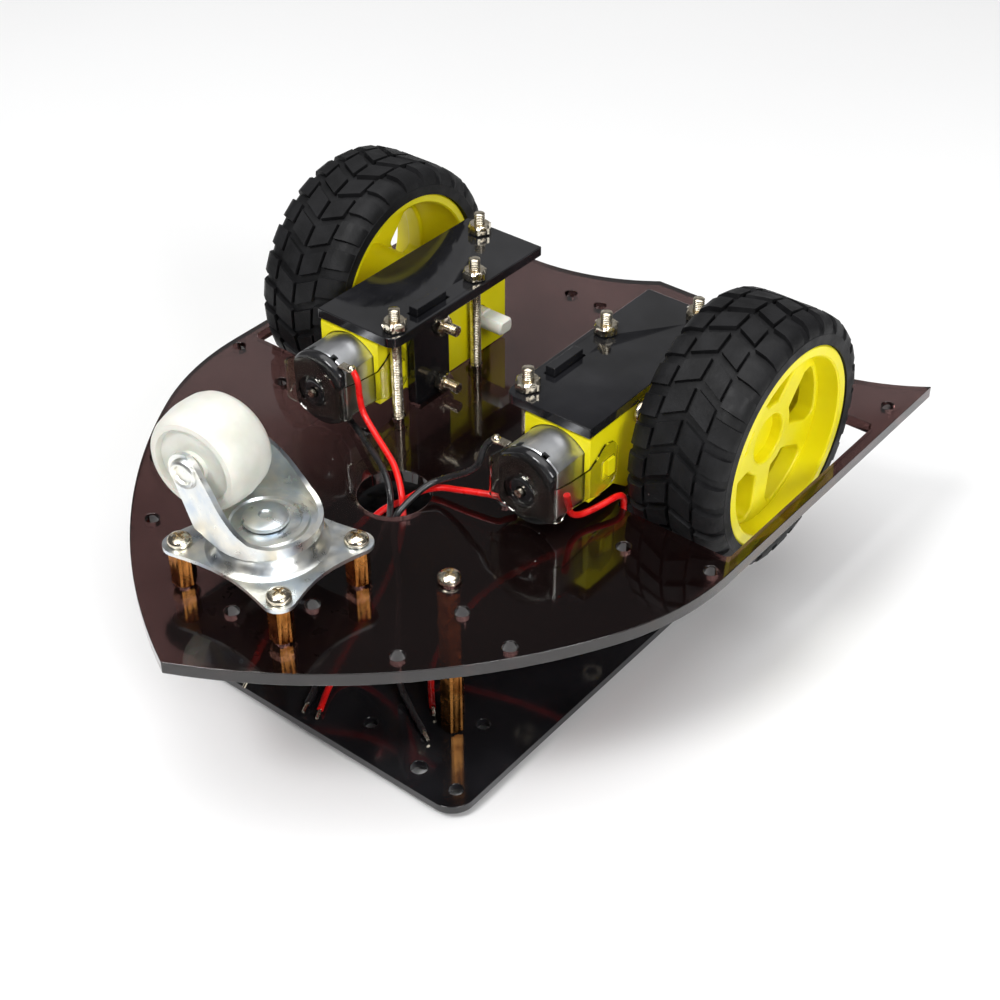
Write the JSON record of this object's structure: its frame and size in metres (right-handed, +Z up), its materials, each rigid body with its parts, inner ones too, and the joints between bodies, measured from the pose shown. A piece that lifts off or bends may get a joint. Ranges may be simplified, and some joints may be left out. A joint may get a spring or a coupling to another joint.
{
  "type": "two wheel robot car",
  "caption": "Turned-over differential-drive robot chassis: shield-shaped acrylic deck, gear motors with spoked wheels, swivel caster and a smaller plate on hex posts.",
  "frame": {"origin": "centre of the bounding box at its base, where the heads of the lower plate's screws rest on the table", "axes": "+Z up with the car turned over, its wheels and caster on top; -Y towards the pointed nose and the caster, +Y towards the tail; +X towards the wheel on the right when it is seen from the nose in this turned-over pose"},
  "size_m": [0.1566, 0.1944, 0.0939],
  "materials": {
    "smoked_acrylic": "polished translucent brown",
    "black_acrylic": "polished opaque black",
    "brass": "turned",
    "nickel_steel": "nickel plated",
    "zinc_plate": "bright zinc plated",
    "motor_steel": "satin",
    "yellow_plastic": "moulded satin",
    "white_nylon": "moulded, slightly translucent",
    "black_plastic": "moulded gloss",
    "clear_plastic": "clear moulded",
    "tyre_rubber": "matt rubber",
    "wire_red": "smooth insulation",
    "wire_black": "smooth insulation"
  },
  "bodies": {
    "chassis": {"bracket_left": "black_acrylic", "bracket_right": "black_acrylic", "caster_flange": "zinc_plate", "caster_kingpin": "zinc_plate", "caster_post_front_left": "brass", "caster_post_front_right": "brass", "caster_post_rear_left": "brass", "caster_post_rear_right": "brass", "clamp_bolt_middle_left": "nickel_steel", "clamp_bolt_middle_right": "nickel_steel", "clamp_bolt_nose_left": "nickel_steel", "clamp_bolt_nose_right": "nickel_steel", "clamp_bolt_tail_left": "nickel_steel", "clamp_bolt_tail_right": "nickel_steel", "cover_left": "black_acrylic", "cover_right": "black_acrylic", "deck": "smoked_acrylic", "deck_screw_left": "nickel_steel", "deck_screw_right": "nickel_steel", "gearbox_bolt_high_left": "nickel_steel", "gearbox_bolt_high_right": "nickel_steel", "gearbox_bolt_low_left": "nickel_steel", "gearbox_bolt_low_right": "nickel_steel", "gearbox_inner_left": "yellow_plastic", "gearbox_inner_right": "yellow_plastic", "gearbox_outer_left": "yellow_plastic", "gearbox_outer_right": "yellow_plastic", "lower_plate": "black_acrylic", "motor_can_left": "motor_steel", "motor_can_right": "motor_steel", "motor_cap_left": "black_plastic", "motor_cap_right": "black_plastic", "motor_strap_left": "clear_plastic", "motor_strap_right": "clear_plastic", "plate_screw_nose_left": "nickel_steel", "plate_screw_nose_right": "nickel_steel", "plate_screw_tail_left": "nickel_steel", "plate_screw_tail_right": "nickel_steel", "post_nose_left": "brass", "post_nose_right": "brass", "post_tail_left": "brass", "post_tail_right": "brass", "wire_black_left": "wire_black", "wire_black_right": "wire_black", "wire_red_left": "wire_red", "wire_red_right": "wire_red", "wire_red_spare": "wire_red"},
    "wheel_left": {"rim_left": "yellow_plastic", "tyre_left": "tyre_rubber", "output_shaft_left": "white_nylon"},
    "wheel_right": {"rim_right": "yellow_plastic", "tyre_right": "tyre_rubber", "output_shaft_right": "white_nylon"},
    "rotor_left": {"rotor_left": "nickel_steel"},
    "rotor_right": {"rotor_right": "nickel_steel"},
    "crown_gear_left": {"crown_gear_left": "white_nylon"},
    "crown_gear_right": {"crown_gear_right": "white_nylon"},
    "caster_fork": {"caster_fork": "zinc_plate", "caster_axle": "zinc_plate"},
    "caster_wheel": {"caster_wheel": "white_nylon"}
  },
  "joints": [
    {"name": "wheel_left_spin", "type": "hinge", "parent": "chassis", "child": "wheel_left", "pos_m": [-0.0584, 0.03765, 0.06135], "axis": [1, 0, 0], "continuous": true},
    {"name": "crown_gear_left_spin", "type": "hinge", "parent": "chassis", "child": "crown_gear_left", "pos_m": [-0.0322, 0.02415, 0.06135], "axis": [1, 0, 0], "continuous": true},
    {"name": "rotor_left_spin", "type": "hinge", "parent": "chassis", "child": "rotor_left", "pos_m": [-0.0322, 0, 0.06135], "axis": [0, 1, 0], "continuous": true},
    {"name": "wheel_right_spin", "type": "hinge", "parent": "chassis", "child": "wheel_right", "pos_m": [0.0584, 0.03765, 0.06135], "axis": [1, 0, 0], "continuous": true},
    {"name": "crown_gear_right_spin", "type": "hinge", "parent": "chassis", "child": "crown_gear_right", "pos_m": [0.0322, 0.02415, 0.06135], "axis": [1, 0, 0], "continuous": true},
    {"name": "rotor_right_spin", "type": "hinge", "parent": "chassis", "child": "rotor_right", "pos_m": [0.0322, 0, 0.06135], "axis": [0, 1, 0], "continuous": true},
    {"name": "caster_swivel", "type": "hinge", "parent": "chassis", "child": "caster_fork", "pos_m": [0, -0.06355, 0.0665], "axis": [0, 0, 1], "continuous": true},
    {"name": "caster_wheel_spin", "type": "hinge", "parent": "caster_fork", "child": "caster_wheel", "pos_m": [-0.01284, -0.06558, 0.0813], "axis": [-0.1564, 0.9877, 0], "continuous": true}
  ],
  "couplings": [
    {"joint": "crown_gear_left_spin", "follows": "wheel_left_spin", "ratio": -2.3333},
    {"joint": "rotor_left_spin", "follows": "wheel_left_spin", "ratio": -48},
    {"joint": "crown_gear_right_spin", "follows": "wheel_right_spin", "ratio": -2.3333},
    {"joint": "rotor_right_spin", "follows": "wheel_right_spin", "ratio": 48}
  ]
}
